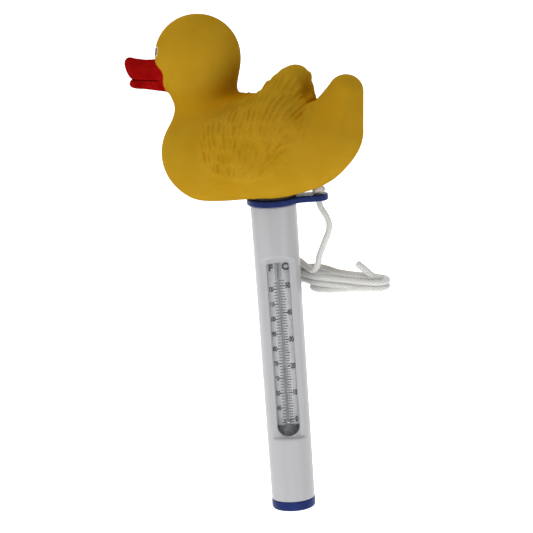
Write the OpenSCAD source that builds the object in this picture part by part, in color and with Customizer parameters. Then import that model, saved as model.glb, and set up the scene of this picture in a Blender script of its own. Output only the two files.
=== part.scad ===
// Floating pool thermometer: a hollow duck float, an open-windowed tube
// with a glass spirit thermometer in it, and a tether cord put up in a hank.
// Millimetres. +Z is up along the tube, the window faces -Y, the cord's tab
// points along +X. The origin is on the tube's axis at the still waterline.

/* [Float] */
// Height of the still waterline above the duck's base
waterline_h = 20; // [12:1:30]
// Turn of the duck's head away from the window side, degrees
duck_yaw = 22; // [0:1:30]
// Thickness of the duck's vinyl wall
duck_wall = 2.4; // [1.6:0.2:3]
// Radius of the duck's head
head_r = 16.4; // [14:0.2:18]
// Height of the duck over all
duck_h = 73.6; // [70:0.4:76]
// Half width of the duck's body
body_half_w = 30; // [26:0.5:33]

/* [Tube] */
// Length of the tube between its two blue caps
tube_len = 122; // [115:1:135]
// Outer radius of the tube at its top
tube_top_r = 9.2; // [8.8:0.1:9.8]
// Outer radius of the tube at its foot
tube_foot_r = 8.7; // [8.5:0.1:9]
// Radius of the bore that the plugs and the ballast sit in
bore_r = 7.2; // [7:0.05:7.4]
// Radius of the small round-over where caps meet the hand
edge_r = 0.6; // [0.2:0.1:0.9]

/* [Window] */
// Width of the window's opening
window_w = 8.8; // [7:0.2:9.2]
// Height of the window's opening
window_h = 71.7; // [60:0.1:76]
// Distance of the opening's top below the collar
window_drop = 23.3; // [20:0.1:28]
// Distance of the flat window frame in front of the axis
frame_flat_y = 5.9; // [5.7:0.1:6.2]
// Thickness of the flat window frame
frame_t = 1.2; // [0.8:0.1:1.4]

/* [Scale] */
// Height of one degree Celsius on the scale
degree_h = 1.11; // [1:0.01:1.13]
// Highest mark of the scale in degrees Celsius
scale_max_c = 50; // [40:10:50]
// Temperature shown at rest in degrees Celsius
shown_c = 20; // [5:1:45]

/* [Caps] */
// Radius of the top cap's collar
collar_r = 10.5; // [10:0.1:12]
// Thickness of the collar and its tab
collar_t = 2.6; // [2:0.1:3.2]
// Reach of the tab's tip from the axis
tab_reach = 22; // [20:0.5:26]
// Width of the tab
tab_w = 9; // [8:0.5:11]
// Height of the bottom cap's band
foot_band = 4; // [3:0.5:6]

/* [Cord] */
// Diameter of the braided cord
cord_d = 2.4; // [2:0.1:2.8]
// Length of the hank over its folds
hank_len = 48; // [46:1:50]
// Width of the hank over its loose loops
hank_w = 12; // [10:0.5:12]
// Height of the stacked turns
hank_h = 8; // [7:0.2:8.4]

/* [Hidden] */
$fn = 64;
hull_fn = 28;

// Levels along the tube's axis, from the duck's base down to the foot.
base_z = -waterline_h;
seal_t = 1;
seal_r = collar_r - 1.2;
seat_z = base_z - seal_t;
tube_top_z = seat_z - collar_t;
tube_foot_z = tube_top_z - tube_len;
foot_z = tube_foot_z - foot_band;
window_top_z = tube_top_z - window_drop;
window_foot_z = window_top_z - window_h;
ledge_gap = 0.4;
head_corner_r = 1.2;
head_slope = 0.8;
recess_reach = 6;

// Plugs, ballast and cushions stand on each other in the round bores.
plug_h = 10;
plug_r = bore_r;
plug_wall = 1.5;
foot_plug_h = 8;
band_r = tube_foot_r + 0.1;
ballast_h = 7;
ballast_r = bore_r - 0.3;
cushion_t = 3;
cushion_r = bore_r - 0.2;
upper_cushion_t = 3.4;
upper_bore_h = plug_h + upper_cushion_t;
lower_bore_h = foot_plug_h + ballast_h + cushion_t;
sheath_foot_z = tube_foot_z + lower_bore_h;
sheath_top_z = tube_top_z - upper_bore_h;

// The sheath stands close behind the window's flat wall.
sheath_r = 5.4;
sheath_wall = 0.7;
sheath_in_r = sheath_r - sheath_wall;
sheath_y = 0.9;
stopper_depth = 3;
pad_t = 2.4;

// Scale card and stem. The card's face is where the stem leans on it.
card_w = 9;
card_t = 0.35;
card_face_y = sheath_y + 0.2;
card_top_z = sheath_top_z - stopper_depth - 0.8;
stem_r = 1.3;
stem_y = card_face_y - stem_r;
thread_r = 0.4;
thread_gap = 0.05;
bulb_r = 2.1;
bulb_wall = 0.5;
bulb_h = 8.2;
bulb_foot_z = sheath_foot_z + sheath_wall + pad_t;
bulb_top_z = bulb_foot_z + bulb_h;
card_foot_z = bulb_top_z + 0.8;
stem_top_z = card_top_z - 1;
tie_levels = [window_top_z + 3, card_foot_z + 1.6];
tie_t = 0.6;
tie_wire = 0.28;
max_mark_drop = 11;
max_mark_z = window_top_z - max_mark_drop;
zero_mark_z = max_mark_z - scale_max_c * degree_h;
level_z = zero_mark_z + shown_c * degree_h;
meniscus_h = 2.4;

// The duck turns on a boss, and a barb above its wall holds it down.
boss_r = 8;
boss_bore_r = 5.6;
duck_hole_r = boss_r + 0.4;
barb_r = 9.8;
barb_seat_r = barb_r + 0.6;
barb_edge = 0.6;
barb_h = 3;
barb_z = base_z + duck_wall + 0.5;
hole_cut_h = 8;

// The cord's hole in the tab, and its stopper knot.
hole_x = 18.2;
hole_r = 1.6;
cord_r = cord_d / 2;
knot_r = 2.9;
knot_h = 3;

// Where the hank hangs, how far it is turned behind the tube, and its droop.
hank_c = [22.6, 7.2, tube_top_z - 33.2];
hank_turn = -26;
hank_droop = 4;
// Behind the tube two turns of the cord pinch the hank to a neck.
tie_u = -17;
tie_len = 2 * cord_d;
neck_w = 2.2 * cord_d;
end_loop_r = 3.6;
// The cord's free end leans back over the hank from its outer end.
end_at = [16.2, -2.8];
end_len = 7.5;
end_lean = -53;
// One loose turn sags under the others.
belly_from = -4.5;
belly_to = 9.5;
belly_h = 1.8;

// The free stretch: down through the tab's hole, out in a lazy S,
// and down on to the front of the hank.
cord_route = [
    [18.2, 0, seat_z],
    [18.2, 0, tube_top_z - 1],
    [18.9, 0, tube_top_z - 3.5],
    [20.6, 0, tube_top_z - 6.5],
    [21.7, 0.1, tube_top_z - 10],
    [21.2, 0.4, tube_top_z - 13.5],
    [19.8, 0.9, tube_top_z - 17],
    [18.4, 1.5, tube_top_z - 20.5],
    [17.3, 1.9, tube_top_z - 23],
    [16.9, 2.2, tube_top_z - 25.5],
    [16.7, 2.8, tube_top_z - 28],
    [16.4, 4, tube_top_z - 30]
];

// Smooth curve through the route's points, by Catmull-Rom.
function route_point(i) = cord_route[max(0, min(len(cord_route) - 1, i))];
function on_route(i, t) =
    let (a = route_point(i - 1), b = route_point(i), c = route_point(i + 1), d = route_point(i + 2))
    0.5 * (2 * b + (c - a) * t + (2 * a - 5 * b + 4 * c - d) * t * t + (3 * b - a - 3 * c + d) * t * t * t);
function unit(v) = v / norm(v);
function ring_at(p, dir, r, sides) =
    let (side = unit(cross(dir, [0, 1, 0])), up = unit(cross(side, dir)))
    [for (k = [0 : sides - 1]) p + r * (cos(360 * k / sides) * side + sin(360 * k / sides) * up)];

module swept_cord(points, r, sides) {
    n = len(points);
    rings = [
        for (i = [0 : n - 1])
            each ring_at(points[i], unit(points[min(n - 1, i + 1)] - points[max(0, i - 1)]), r, sides)
    ];
    walls = [
        for (i = [0 : n - 2], k = [0 : sides - 1])
            each [
                [i * sides + k, i * sides + (k + 1) % sides, (i + 1) * sides + k],
                [i * sides + (k + 1) % sides, (i + 1) * sides + (k + 1) % sides, (i + 1) * sides + k]
            ]
    ];
    first_cap = [for (k = [sides - 1 : -1 : 0]) k];
    last_cap = [for (k = [0 : sides - 1]) (n - 1) * sides + k];
    polyhedron(points = rings, faces = concat([first_cap], walls, [last_cap]), convexity = 6);
}

// A ball squashed to three half axes, for the duck's soft forms.
module egg(c, half) {
    translate(c) scale(half) sphere(r = 1, $fn = hull_fn);
}

// The duck's form, drawn t inside its outer skin. Heading is -X.
module duck_form(t) {
    // Breast and belly, flat underneath.
    intersection() {
        hull() {
            egg([-22, 0, 21], [21.4 - t, 25 - t, 21 - t]);
            egg([-20, 0, 8], [19 - t, 20 - t, 8 - t]);
            egg([0, 0, 21], [24 - t, body_half_w - t, 21 - t]);
            egg([2, 0, 6], [16 - t, 18 - t, 6 - t]);
            egg([20, 0, 22], [16 - t, 20 - t, 16.5 - t]);
        }
        translate([-60, -50, t]) cube([120, 100, 60]);
    }
    // Tail, swept up to a blunt point.
    hull() {
        egg([24, 0, 23], [13.6 - t, 16 - t, 13.6 - t]);
        egg([33.5, 0, 41], [6.9 - t, 8.6 - t, 6.9 - t]);
    }
    // Neck.
    hull() {
        egg([-22, 0, 33], [16 - t, 19 - t, 8 - t]);
        egg([-25.6, 0, 45], [13 - t, 13 - t, 7 - t]);
    }
    egg([-27, 0, duck_h - head_r], [head_r - t, head_r - 0.8 - t, head_r - t]);
    // Wings, folded up over the back.
    for (side = [-1, 1]) hull() {
        egg([-16, side * 19, 24], [9 - t, 9 - t, 9 - t]);
        egg([-5, side * 11, 35.6], [7 - t, 6 - t, 6.6 - t]);
        egg([10, side * 18, 26], [11 - t, 9 - t, 10 - t]);
        egg([11.6, side * 3, 45.6], [5.8 - t, 5.8 - t, 5.8 - t]);
    }
}

module beak() {
    hull() {
        egg([-41, 0, 49.8], [5, 9, 5.6]);
        egg([-56.4, 0, 52.6], [3, 6.6, 2.8]);
    }
    hull() {
        egg([-40, 0, 46.4], [5, 7.5, 5]);
        egg([-54, 0, 45.6], [3, 6, 2.4]);
    }
}

module duck_body() {
    color("goldenrod") rotate([0, 0, -duck_yaw]) translate([0, 0, base_z]) difference() {
        union() {
            duck_form(0);
            beak();
        }
        duck_form(duck_wall);
        translate([0, 0, -1]) cylinder(r = duck_hole_r, h = hole_cut_h);
        // Flat seat for the barb around the hole.
        translate([0, 0, duck_wall]) cylinder(r = barb_seat_r, h = hole_cut_h);
    }
}

module duck_seal() {
    color("dimgray") translate([0, 0, seat_z]) difference() {
        cylinder(r = seal_r, h = seal_t);
        translate([0, 0, -1]) cylinder(r = boss_r, h = seal_t + 2);
    }
}

// Outline of the collar with its tab, as seen from above.
module collar_outline() {
    difference() {
        union() {
            circle(r = collar_r);
            translate([0, -tab_w / 2]) square([tab_reach - tab_w / 2, tab_w]);
            translate([tab_reach - tab_w / 2, 0]) circle(r = tab_w / 2);
        }
        translate([hole_x, 0]) circle(r = hole_r);
    }
}

module top_cap() {
    color("midnightblue") difference() {
        union() {
            translate([0, 0, tube_top_z]) linear_extrude(collar_t) collar_outline();
            translate([0, 0, seat_z]) cylinder(r = boss_r, h = barb_z + barb_h - seat_z);
            translate([0, 0, barb_z]) cylinder(r = barb_r, h = barb_edge);
            translate([0, 0, barb_z + barb_edge])
                cylinder(r1 = barb_r, r2 = boss_r, h = barb_h - barb_edge);
            translate([0, 0, tube_top_z - plug_h]) cylinder(r = plug_r, h = plug_h);
        }
        translate([0, 0, tube_top_z - plug_h - 1]) cylinder(r = plug_r - plug_wall, h = plug_h + 1);
        translate([0, 0, seat_z]) cylinder(r = boss_bore_r, h = barb_z + barb_h + 1 - seat_z);
    }
}

// Opening with a round foot and a straight head with small round corners.
module window_slot(depth) {
    rotate([90, 0, 0]) linear_extrude(depth) {
        translate([0, window_foot_z + window_w / 2]) circle(r = window_w / 2);
        translate([-window_w / 2, window_foot_z + window_w / 2])
            square([window_w, window_h - window_w / 2 - head_corner_r]);
        translate([head_corner_r - window_w / 2, window_foot_z + window_w / 2])
            square([window_w - 2 * head_corner_r, window_h - window_w / 2]);
        for (side = [-1, 1])
            translate([side * (window_w / 2 - head_corner_r), window_top_z - head_corner_r])
                circle(r = head_corner_r);
    }
}

// Flat face let into the tube's front; at its head it runs out on a slope.
module frame_recess() {
    translate([-15, 0, 0]) rotate([90, 0, 90]) linear_extrude(30)
        polygon([
            [-frame_flat_y, window_foot_z - ledge_gap],
            [-frame_flat_y, window_top_z + ledge_gap],
            [-frame_flat_y - recess_reach, window_top_z + ledge_gap + head_slope * recess_reach],
            [-frame_flat_y - recess_reach, window_foot_z - ledge_gap]
        ]);
}

module tube() {
    color("gainsboro") difference() {
        translate([0, 0, tube_foot_z]) cylinder(r1 = tube_foot_r, r2 = tube_top_r, h = tube_len);
        // Round bores for the caps at both ends.
        translate([0, 0, tube_top_z - upper_bore_h]) cylinder(r = bore_r, h = upper_bore_h + 1);
        translate([0, 0, tube_foot_z - 1]) cylinder(r = bore_r, h = lower_bore_h + 1);
        // D-shaped bore behind the flat window wall.
        intersection() {
            translate([0, 0, tube_foot_z]) cylinder(r = bore_r, h = tube_len);
            translate([-bore_r, frame_t - frame_flat_y, tube_foot_z]) cube([2 * bore_r, 20, tube_len]);
        }
        frame_recess();
        window_slot(20);
    }
}

module bottom_cap() {
    color("midnightblue") {
        translate([0, 0, foot_z]) rotate_extrude() {
            translate([0, edge_r]) square([band_r, foot_band - edge_r]);
            square([band_r - edge_r, edge_r]);
            translate([band_r - edge_r, edge_r]) circle(r = edge_r);
        }
        translate([0, 0, tube_foot_z]) difference() {
            cylinder(r = plug_r, h = foot_plug_h);
            translate([0, 0, 1]) cylinder(r = plug_r - plug_wall, h = foot_plug_h);
        }
    }
}

module ballast() {
    color("slategray") translate([0, 0, tube_foot_z + foot_plug_h])
        cylinder(r = ballast_r, h = ballast_h);
}

module lower_cushion() {
    color("dimgray") translate([0, 0, sheath_foot_z - cushion_t])
        cylinder(r = cushion_r, h = cushion_t);
}

module upper_cushion() {
    color("dimgray") translate([0, 0, sheath_top_z])
        cylinder(r = cushion_r, h = upper_cushion_t);
}

module glass_sheath() {
    color("lightcyan", 0.4) translate([0, sheath_y, sheath_foot_z]) difference() {
        cylinder(r = sheath_r, h = sheath_top_z - sheath_foot_z);
        translate([0, 0, sheath_wall])
            cylinder(r = sheath_in_r, h = sheath_top_z - sheath_foot_z);
    }
}

module sheath_stopper() {
    color("ivory") translate([0, sheath_y, sheath_top_z - stopper_depth])
        cylinder(r = sheath_in_r, h = stopper_depth);
}

module tie_cutout(z) {
    translate([-stem_r - 0.3, card_face_y - 1, z - 0.5]) cube([2 * stem_r + 0.6, 3, 1]);
}

module scale_card() {
    color("white") difference() {
        translate([-card_w / 2, card_face_y, card_foot_z])
            cube([card_w, card_t, card_top_z - card_foot_z]);
        for (z = tie_levels) tie_cutout(z);
    }
}

module scale_ties() {
    color("silver") for (z = tie_levels) translate([0, stem_y, z - tie_t / 2]) difference() {
        cylinder(r = stem_r + tie_wire, h = tie_t);
        translate([0, 0, -1]) cylinder(r = stem_r, h = tie_t + 2);
    }
}

// Half profile of the stem and its bulb, wall thickness t in from the glass.
module stem_outline(stem, bulb, foot, shoulder, top) {
    translate([0, foot + bulb]) square([bulb, shoulder - foot - 2 * bulb]);
    intersection() {
        translate([0, foot + bulb]) circle(r = bulb);
        translate([0, foot]) square([bulb, bulb]);
    }
    intersection() {
        translate([0, shoulder - bulb]) circle(r = bulb);
        translate([0, shoulder - bulb]) square([bulb, bulb]);
    }
    translate([0, shoulder - bulb]) square([stem, top - shoulder + bulb]);
}

module capillary_stem() {
    color("lightcyan", 0.5) translate([0, stem_y, 0]) difference() {
        rotate_extrude() stem_outline(stem_r, bulb_r, bulb_foot_z, bulb_top_z, stem_top_z);
        rotate_extrude()
            stem_outline(thread_r + thread_gap, bulb_r - bulb_wall, bulb_foot_z + bulb_wall,
                bulb_top_z - bulb_wall, stem_top_z + 1);
    }
}

module spirit_reservoir() {
    color("black") translate([0, stem_y, 0]) rotate_extrude()
        stem_outline(thread_r, bulb_r - bulb_wall - thread_gap, bulb_foot_z + bulb_wall + thread_gap,
            bulb_top_z - bulb_wall - thread_gap, bulb_top_z);
}

module spirit_column() {
    color("black") translate([0, stem_y, bulb_top_z])
        cylinder(r = thread_r, h = level_z - meniscus_h - bulb_top_z);
}

module spirit_meniscus() {
    color("black") translate([0, stem_y, level_z - meniscus_h])
        cylinder(r = thread_r, h = meniscus_h);
}

module bulb_pad() {
    color("white") translate([0, sheath_y, sheath_foot_z + sheath_wall])
        cylinder(r = sheath_in_r - 0.1, h = pad_t);
}

module cord_knot() {
    color("white") translate([hole_x, 0, seat_z]) rotate_extrude() {
        square([knot_r - 1.2, knot_h]);
        translate([0, 1.2]) square([knot_r, knot_h - 2.4]);
        translate([knot_r - 1.2, 1.2]) circle(r = 1.2);
        translate([knot_r - 1.2, knot_h - 1.2]) circle(r = 1.2);
    }
}

module cord() {
    color("white") swept_cord(
        [for (i = [0 : len(cord_route) - 2], t = [0 : 0.34 : 0.99]) on_route(i, t)],
        cord_r, 8);
}

// The hank's own frame: its length along X, the stack of its turns along Z.
module in_hank() {
    translate(hank_c) rotate([0, hank_droop, hank_turn]) children();
}

// Outline of the hank from above: a wide loop, a neck and a small end loop.
module hank_outline() {
    hull() {
        translate([(hank_len - hank_w) / 2, 0]) circle(r = hank_w / 2);
        translate([tie_u / 3, 0]) circle(r = hank_w / 2);
        translate([tie_u + tie_len / 2 + 0.1, 0]) square([0.2, neck_w], center = true);
    }
    translate([tie_u, 0]) square([tie_len + 0.2, neck_w], center = true);
    translate([end_loop_r - hank_len / 2, 0]) circle(r = end_loop_r);
}

// Outline of the loose turn under the others.
module belly_outline() {
    hull() {
        translate([belly_from, 0]) circle(r = hank_w / 2);
        translate([belly_to, 0]) circle(r = hank_w / 2);
    }
}

module cord_hank() {
    color("white") in_hank() {
        translate([0, 0, -hank_h / 2]) linear_extrude(hank_h) hank_outline();
        translate([0, 0, -hank_h / 2 - belly_h]) linear_extrude(hank_h / 2) belly_outline();
    }
}

module hank_tie() {
    color("white") in_hank() translate([tie_u, 0, 0]) rotate([90, 0, 90])
        translate([0, 0, -tie_len / 2]) linear_extrude(tie_len) difference() {
            square([neck_w + 2 * cord_d, hank_h + 2 * cord_d], center = true);
            square([neck_w, hank_h], center = true);
        }
}

module cord_end() {
    color("white") in_hank() translate([end_at[0], end_at[1], hank_h / 2]) rotate([0, end_lean, 0]) {
        cylinder(r = cord_r, h = end_len);
        translate([0, 0, end_len]) sphere(r = cord_r);
    }
}

duck_body();
duck_seal();
top_cap();
tube();
bottom_cap();
ballast();
lower_cushion();
upper_cushion();
glass_sheath();
sheath_stopper();
scale_card();
scale_ties();
capillary_stem();
spirit_reservoir();
spirit_column();
spirit_meniscus();
bulb_pad();
cord_knot();
cord();
cord_hank();
hank_tie();
cord_end();
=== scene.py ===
import math

import bmesh
import bpy
import numpy as np
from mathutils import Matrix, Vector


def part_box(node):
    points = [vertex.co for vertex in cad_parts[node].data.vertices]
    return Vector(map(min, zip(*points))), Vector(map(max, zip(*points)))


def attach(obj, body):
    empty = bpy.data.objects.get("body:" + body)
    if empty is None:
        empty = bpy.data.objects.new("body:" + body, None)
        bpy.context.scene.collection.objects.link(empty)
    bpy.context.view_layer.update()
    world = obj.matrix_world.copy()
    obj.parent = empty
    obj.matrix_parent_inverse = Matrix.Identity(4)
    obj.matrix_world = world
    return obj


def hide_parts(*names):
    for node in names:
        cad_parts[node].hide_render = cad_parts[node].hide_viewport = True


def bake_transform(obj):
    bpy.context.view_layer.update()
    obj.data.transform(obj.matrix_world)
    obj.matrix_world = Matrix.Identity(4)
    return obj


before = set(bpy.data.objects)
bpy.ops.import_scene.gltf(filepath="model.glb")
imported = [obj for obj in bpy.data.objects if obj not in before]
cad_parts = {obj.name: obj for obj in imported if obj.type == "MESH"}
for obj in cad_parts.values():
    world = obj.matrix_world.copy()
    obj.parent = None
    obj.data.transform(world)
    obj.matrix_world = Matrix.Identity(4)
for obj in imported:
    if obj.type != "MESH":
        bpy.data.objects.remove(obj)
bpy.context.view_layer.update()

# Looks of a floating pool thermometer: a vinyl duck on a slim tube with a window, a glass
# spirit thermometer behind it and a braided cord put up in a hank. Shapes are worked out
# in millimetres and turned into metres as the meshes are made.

import openvdb
from mathutils import Matrix, Vector

MM = 0.001


# ---------------------------------------------------------------- places taken from the frame

def low(node):
    """Lowest corner of a CAD node, in millimetres."""
    return np.array(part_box(node)[0]) / MM


def high(node):
    """Highest corner of a CAD node, in millimetres."""
    return np.array(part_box(node)[1]) / MM


TUBE_TOP = high("tube")[2]
TUBE_FOOT = low("tube")[2]
TUBE_TOP_R = 9.2
TUBE_FOOT_R = 8.7
BORE_R = 7.2
CAP_FOOT = low("bottom_cap")[2]
SEAT = low("duck_seal")[2]
DUCK_BASE = high("duck_seal")[2]
WINDOW_TOP = TUBE_TOP - 23.3
WINDOW_FOOT = WINDOW_TOP - 71.7
WINDOW_W = 8.8
FRAME_Y = -5.9
FRAME_T = 1.2
SHEATH_LOW = low("glass_sheath")
SHEATH_HIGH = high("glass_sheath")
SHEATH_Y = (SHEATH_LOW[1] + SHEATH_HIGH[1]) / 2
SHEATH_R = (SHEATH_HIGH[0] - SHEATH_LOW[0]) / 2
SHEATH_WALL = 0.7
CARD_FACE = low("scale_card")[1]
BULB_FOOT = low("capillary_stem")[2]
STEM_TOP = high("capillary_stem")[2]
BULB_TOP = low("spirit_column")[2]
STEM_Y = (low("spirit_column")[1] + high("spirit_column")[1]) / 2
STEM_R = 1.3
BULB_R = 2.1
THREAD_R = 0.4
LEVEL = high("spirit_meniscus")[2]
KNOT_LOW = low("cord_knot")
KNOT_HIGH = high("cord_knot")
HOLE_X = (KNOT_LOW[0] + KNOT_HIGH[0]) / 2
TAB_TIP = high("top_cap")[0]
COLLAR_R = -low("top_cap")[0]
DEGREE = 1.11
ZERO_MARK = LEVEL - 20 * DEGREE
DUCK_YAW = math.radians(22)
CORD_R = 1.2


# ---------------------------------------------------------------- mesh helpers

def make_object(name, verts, faces, body="root"):
    """A mesh object from points in millimetres, riding on a body unless body is None."""
    mesh = bpy.data.meshes.new(name)
    mesh.from_pydata((np.asarray(verts, float) * MM).tolist(), [], [list(f) for f in faces])
    mesh.polygons.foreach_set("use_smooth", [True] * len(mesh.polygons))
    mesh.update()
    obj = bpy.data.objects.new(name, mesh)
    bpy.context.scene.collection.objects.link(obj)
    if body:
        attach(obj, body)
    return obj


def finish_piece(obj, material, slot, *nodes):
    """The piece's material, and the CAD nodes that it stands for, which are hidden; the slot argument is
    not used.
    """
    obj.data.materials.append(material)
    if nodes:
        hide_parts(*nodes)
    return obj


def set_attribute(obj, name, values):
    """One number for each point, read by the materials."""
    layer = obj.data.attributes.new(name, "FLOAT", "POINT")
    layer.data.foreach_set("value", np.asarray(values, np.float32))


def lathe(profile, centre=(0.0, 0.0), sides=96):
    """Points and faces of a closed profile of (radius, z) turned about a vertical axis."""
    verts = []
    faces = []
    rows = len(profile)
    for k in range(sides):
        a = 2 * math.pi * k / sides
        for r, z in profile:
            verts.append((centre[0] + r * math.cos(a), centre[1] + r * math.sin(a), z))
    for k in range(sides):
        for i in range(rows):
            j = (i + 1) % rows
            m = (k + 1) % sides
            faces.append((k * rows + i, m * rows + i, m * rows + j, k * rows + j))
    return verts, faces


def arc(cr, cz, radius, start, end, count=6):
    """Points (radius, z) of an arc in a profile, angles in degrees."""
    turn = [math.radians(start + (end - start) * i / count) for i in range(count + 1)]
    return [(cr + radius * math.cos(t), cz + radius * math.sin(t)) for t in turn]


def gradient(field, p, e=0.05):
    """Slope of a field at points p."""
    g = np.empty_like(p)
    for k in range(3):
        step = np.zeros(3)
        step[k] = e
        ahead = field(*(p + step).T)
        behind = field(*(p - step).T)
        g[:, k] = (ahead - behind) / (2 * e)
    return g


def solid_from(field, corner, far_corner, steps, pulls=3):
    """Points and quads of the surface where field(x, y, z) is zero, inside negative."""
    corner = np.array(corner, float)
    steps = np.array(steps, float)
    axes = [np.arange(a, b, s) for a, b, s in zip(corner, far_corner, steps)]
    x, y, z = np.meshgrid(*axes, indexing="ij", sparse=True)
    reach = 3 * steps.max()
    values = np.clip(field(x, y, z), -reach, reach).astype(np.float32)
    grid = openvdb.FloatGrid(reach)
    grid.copyFromArray(np.ascontiguousarray(values))
    points, _, quads = grid.convertToPolygons(isovalue=0.0)
    p = points.astype(float) * steps + corner
    for _ in range(pulls):
        g = gradient(field, p)
        move = field(*p.T) / np.maximum((g * g).sum(1), 0.2)
        p -= g * np.clip(move, -0.5 * steps.min(), 0.5 * steps.min())[:, None]
    a, b, c = p[quads[:, 0]], p[quads[:, 1]], p[quads[:, 2]]
    if (np.cross(b - a, c - a) * gradient(field, a)).sum() < 0:
        quads = quads[:, ::-1]
    return p, quads


# ---------------------------------------------------------------- distance fields

def egg(x, y, z, c, r):
    """Rough distance to an ellipsoid."""
    px, py, pz = x - c[0], y - c[1], z - c[2]
    k0 = np.sqrt((px / r[0]) ** 2 + (py / r[1]) ** 2 + (pz / r[2]) ** 2)
    k1 = np.sqrt((px / r[0] ** 2) ** 2 + (py / r[1] ** 2) ** 2 + (pz / r[2] ** 2) ** 2)
    return k0 * (k0 - 1) / np.maximum(k1, 1e-6)


def cone(x, y, z, a, b, ra, rb):
    """Distance to a rod with round ends whose radius runs from ra at a to rb at b."""
    ax, ay, az = b[0] - a[0], b[1] - a[1], b[2] - a[2]
    length = math.sqrt(ax * ax + ay * ay + az * az)
    slope = (ra - rb) / length
    dx, dy, dz = x - a[0], y - a[1], z - a[2]
    along = (dx * ax + dy * ay + dz * az) / length
    off = np.sqrt(np.maximum(dx * dx + dy * dy + dz * dz - along * along, 0))
    foot = np.clip(along - off * slope / math.sqrt(1 - slope * slope), 0, length)
    return np.hypot(off, along - foot) - (ra - slope * foot)


def join(a, b, k):
    """Union with a soft fillet about k wide."""
    h = np.clip(0.5 + 0.5 * (b - a) / k, 0, 1)
    return b + (a - b) * h - k * h * (1 - h)


def cut(a, b, k):
    """Intersection with a round edge about k wide."""
    return -join(-a, -b, k)


def smooth_step(x, start, end):
    """0 up to start and 1 from end on, eased between them."""
    t = np.clip((x - start) / (end - start), 0, 1)
    return t * t * (3 - 2 * t)


# ---------------------------------------------------------------- camera

VIEW_DISTANCE = 1200
VIEW_ELEVATION = math.radians(12.4)
VIEW_ROLL = math.radians(-3.98)
VIEW_WIDTH = 213.2
VIEW_TARGET = Vector((-4.45, 0, TUBE_TOP - 25.7))


def make_camera():
    """Level with the float's side, a little above it, rolled as the photograph is."""
    back = Vector((0, -math.cos(VIEW_ELEVATION), math.sin(VIEW_ELEVATION)))
    side = Vector((1, 0, 0))
    up = back.cross(side)
    right = side * math.cos(VIEW_ROLL) + up * math.sin(VIEW_ROLL)
    upward = up * math.cos(VIEW_ROLL) - side * math.sin(VIEW_ROLL)
    data = bpy.data.cameras.new("camera")
    data.sensor_width = 36
    data.lens = 36 * VIEW_DISTANCE / VIEW_WIDTH
    data.clip_end = 20
    camera = bpy.data.objects.new("camera", data)
    rows = [[right[i], upward[i], back[i], 0] for i in range(3)] + [[0, 0, 0, 1]]
    place = (VIEW_TARGET + back * VIEW_DISTANCE) * MM
    camera.matrix_world = Matrix.Translation(place) @ Matrix(rows)
    bpy.context.scene.collection.objects.link(camera)
    bpy.context.scene.camera = camera


make_camera()


# ---------------------------------------------------------------- cord

# The free stretch: down through the tab, out in a lazy S, on to the hank.
FREE_ROUTE = [
    (18.2, 0, SEAT - 0.2), (18.2, 0, TUBE_TOP - 1), (18.9, 0, TUBE_TOP - 3.5),
    (20.6, 0, TUBE_TOP - 6.5), (21.7, 0.1, TUBE_TOP - 10), (21.2, 0.4, TUBE_TOP - 13.5),
    (19.6, 0.9, TUBE_TOP - 17), (18.1, 1.5, TUBE_TOP - 20.5), (17.0, 1.9, TUBE_TOP - 23),
    (16.4, 2.2, TUBE_TOP - 25.5), (16.0, 2.8, TUBE_TOP - 27.4),
]
HANK_CENTRE = np.array([22.6, 7.2, TUBE_TOP - 33.2])
HANK_TURN = math.radians(-26)
HANK_DROOP = math.radians(4)
NECK_END = -14.6
NECK_HALF = 1.25
LOOSE_HALF = 4.8
FAR_FOLD = 18.0
LOW_FOLDS = (-4.5, 10.0)


def from_hank(points):
    """Points of the hank's own frame, its length along u and its stack along w, in the row frame."""
    cy, sy = math.cos(HANK_DROOP), math.sin(HANK_DROOP)
    cz, sz = math.cos(HANK_TURN), math.sin(HANK_TURN)
    droop = np.array([[cy, 0, sy], [0, 1, 0], [-sy, 0, cy]])
    turn = np.array([[cz, -sz, 0], [sz, cz, 0], [0, 0, 1]])
    return np.asarray(points, float) @ (turn @ droop).T + HANK_CENTRE


def half_width(u):
    """How far the runs lie from the hank's middle: pinched at the neck, loose beyond it."""
    return NECK_HALF + (LOOSE_HALF - NECK_HALF) * smooth_step(u, NECK_END, NECK_END + 9)


def run(u0, u1, side, w0, w1):
    """One strand from u0 to u1 on the front (-1) or back (+1) of the hank."""
    count = max(3, int(abs(u1 - u0) / 4))
    points = []
    for i in range(count + 1):
        u = u0 + (u1 - u0) * i / count
        w = w0 + (w1 - w0) * float(smooth_step(i / count, 0, 1))
        points.append((u, side * half_width(u), w))
    return points


def fold(centre, outward, side, w0, w1):
    """Half a turn round one end of the hank, starting on that side of it."""
    points = []
    for i, degrees in enumerate((-60, -30, 0, 30, 60)):
        a = math.radians(degrees)
        u = centre + outward * LOOSE_HALF * math.cos(a)
        points.append((u, -side * LOOSE_HALF * math.sin(a), w0 + (w1 - w0) * (i + 1) / 6))
    return points


def left_loop(w0, w1):
    """Round the small end loop beyond the neck, from the front to the back."""
    outline = [(-19, -1.8), (-20.5, -2.5), (-22.4, -1.7), (-23, 0), (-22.4, 1.7), (-20.5, 2.5), (-19, 1.8)]
    return [(u, v, w0 + (w1 - w0) * (i + 1) / 8) for i, (u, v) in enumerate(outline)]


def neck_wraps():
    """A turn and a half of the cord round the neck, then round the small end loop."""
    points = []
    for i in range(13):
        a = math.pi * i / 4
        points.append((NECK_END - 0.9 - 3.0 * i / 12, 3.9 * math.sin(a), 5.0 * math.cos(a)))
    points += [(-19.4, -3.2, -4.6), (-21.8, -4.0, -3.7), (-24, -2.2, -2.9)]
    points += [(-24.4, 0.3, -2.6), (-23, 2.7, -2.5), (-20.4, 2.7, -2.4)]
    return points


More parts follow.
